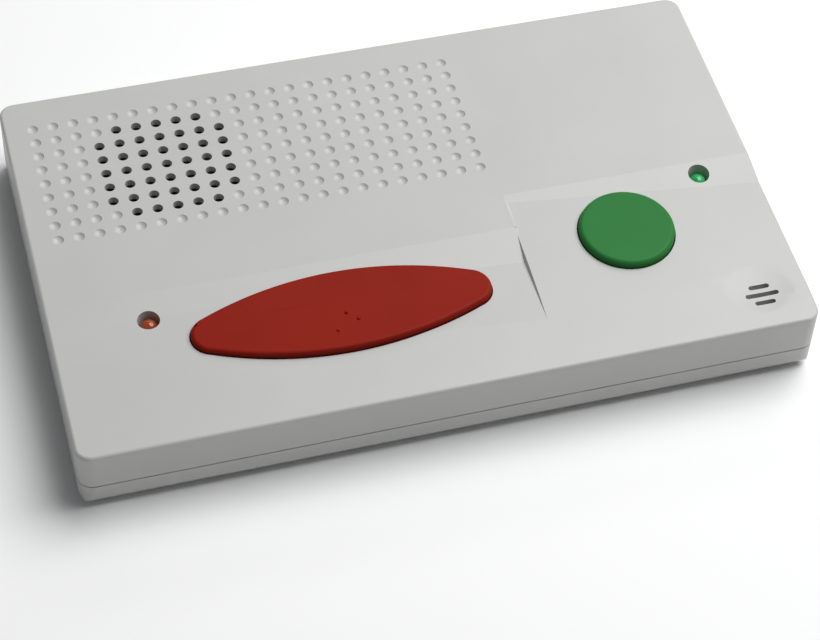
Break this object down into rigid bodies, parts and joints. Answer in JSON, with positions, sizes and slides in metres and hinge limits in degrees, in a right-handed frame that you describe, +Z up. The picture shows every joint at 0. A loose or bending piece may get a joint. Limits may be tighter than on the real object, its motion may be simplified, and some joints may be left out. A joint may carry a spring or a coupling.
{
  "type": "medical alert base station",
  "caption": "Low desk unit with a long red help button, a round green cancel button, two lights, a dimpled speaker grille and a microphone; sockets at the rear, battery below.",
  "frame": {"origin": "centre of the footprint, on the surface that the rubber feet stand on", "axes": "+X to the user's right, +Y to the rear where the sockets are, +Z up"},
  "size_m": [0.2154, 0.1334, 0.0262],
  "materials": {
    "case_plastic": "light grey moulded plastic with a fine satin texture",
    "foot_rubber": "dark moulded rubber",
    "screw_steel": "zinc plated steel",
    "spring_steel": "drawn spring wire",
    "red_plastic": "deep red moulded plastic, softly glossy",
    "green_plastic": "green moulded plastic, softly glossy",
    "amber_lens": "clear orange-red light body",
    "green_lens": "clear green light body",
    "black_plastic": "black moulded resin",
    "white_plastic": "natural nylon",
    "tinned_wire": "bright tinned metal",
    "foam": "black foam and treated cloth",
    "speaker_steel": "pressed steel, zinc plated",
    "cone_paper": "pressed paper pulp",
    "copper": "enamelled copper wire",
    "magnet_ferrite": "sintered ferrite",
    "can_aluminium": "drawn aluminium can",
    "board_laminate": "green solder mask over glass laminate",
    "blue_resin": "dipped blue resin",
    "coil_tape": "yellow winding tape over a bobbin",
    "relay_plastic": "orange-yellow moulded cover",
    "shield_tin": "tin plated shield",
    "gold_contact": "gold flashed contact wire",
    "cell_sleeve": "shrink sleeve over a steel can",
    "wire_insulation": "flexible wire insulation"
  },
  "bodies": {
    "case": {"top_case": "case_plastic", "bottom_case": "case_plastic", "rubber_feet": "foot_rubber", "case_screws": "screw_steel", "help_button_springs": "spring_steel", "help_switch_body": "black_plastic", "cancel_button_spring": "spring_steel", "cancel_switch_body": "black_plastic", "alarm_light": "amber_lens", "power_light": "green_lens", "light_spacers": "white_plastic", "light_leads": "tinned_wire", "speaker_gasket": "foam", "speaker_frame": "speaker_steel", "speaker_surround": "foam", "speaker_cone": "cone_paper", "speaker_dust_cap": "cone_paper", "speaker_voice_coil": "copper", "speaker_magnet": "magnet_ferrite", "speaker_yoke": "speaker_steel", "speaker_clips": "screw_steel", "speaker_screws": "screw_steel", "microphone_capsule": "can_aluminium", "microphone_boot": "foot_rubber", "microphone_leads": "tinned_wire", "main_board": "board_laminate", "board_screws": "screw_steel", "microcontroller": "black_plastic", "memory_chip": "black_plastic", "line_interface_chip": "black_plastic", "speaker_amplifier": "black_plastic", "voltage_regulator": "black_plastic", "crystal": "can_aluminium", "electrolytic_capacitors": "can_aluminium", "surge_varistor": "blue_resin", "line_transformer_core": "magnet_ferrite", "line_transformer_coil": "coil_tape", "line_relays": "relay_plastic", "radio_board": "board_laminate", "radio_shield": "shield_tin", "radio_aerial": "copper", "power_jack": "black_plastic", "power_jack_pin": "tinned_wire", "line_socket": "black_plastic", "phone_socket": "black_plastic", "socket_contacts": "gold_contact", "power_switch_body": "black_plastic", "battery_cells": "cell_sleeve", "battery_links": "tinned_wire", "battery_header": "white_plastic", "battery_leads": "wire_insulation", "speaker_header": "white_plastic", "speaker_leads": "wire_insulation"},
    "help_button": {"help_button": "red_plastic"},
    "help_plunger": {"help_switch_plunger": "white_plastic"},
    "cancel_button": {"cancel_button": "green_plastic"},
    "cancel_plunger": {"cancel_switch_plunger": "white_plastic"},
    "battery_door": {"battery_door": "case_plastic"},
    "power_knob": {"power_switch_knob": "white_plastic"}
  },
  "joints": [
    {"name": "help_button_press", "type": "slide", "parent": "case", "child": "help_button", "axis": [0, 0, -1], "range_m": [0, 0.0012], "stiffness_N_per_m": 900, "springref_m": -0.0012, "deforming": ["help_button_springs"]},
    {"name": "help_plunger_press", "type": "slide", "parent": "case", "child": "help_plunger", "axis": [0, 0, -1], "range_m": [0, 0.0012], "stiffness_N_per_m": 500, "springref_m": -0.0006},
    {"name": "cancel_button_press", "type": "slide", "parent": "case", "child": "cancel_button", "axis": [0, 0, -1], "range_m": [0, 0.0012], "stiffness_N_per_m": 600, "springref_m": -0.0012, "deforming": ["cancel_button_spring"]},
    {"name": "cancel_plunger_press", "type": "slide", "parent": "case", "child": "cancel_plunger", "axis": [0, 0, -1], "range_m": [0, 0.0012], "stiffness_N_per_m": 80, "springref_m": -0.0006},
    {"name": "battery_door_hinge", "type": "hinge", "parent": "case", "child": "battery_door", "pos_m": [-0.003, 0.003, 0.0019], "axis": [-1, 0, 0], "range_deg": [0, 80]},
    {"name": "power_knob_slide", "type": "slide", "parent": "case", "child": "power_knob", "axis": [1, 0, 0], "range_m": [0, 0.0035]}
  ],
  "couplings": [
    {"joint": "help_plunger_press", "follows": "help_button_press", "ratio": 1},
    {"joint": "cancel_plunger_press", "follows": "cancel_button_press", "ratio": 1}
  ]
}
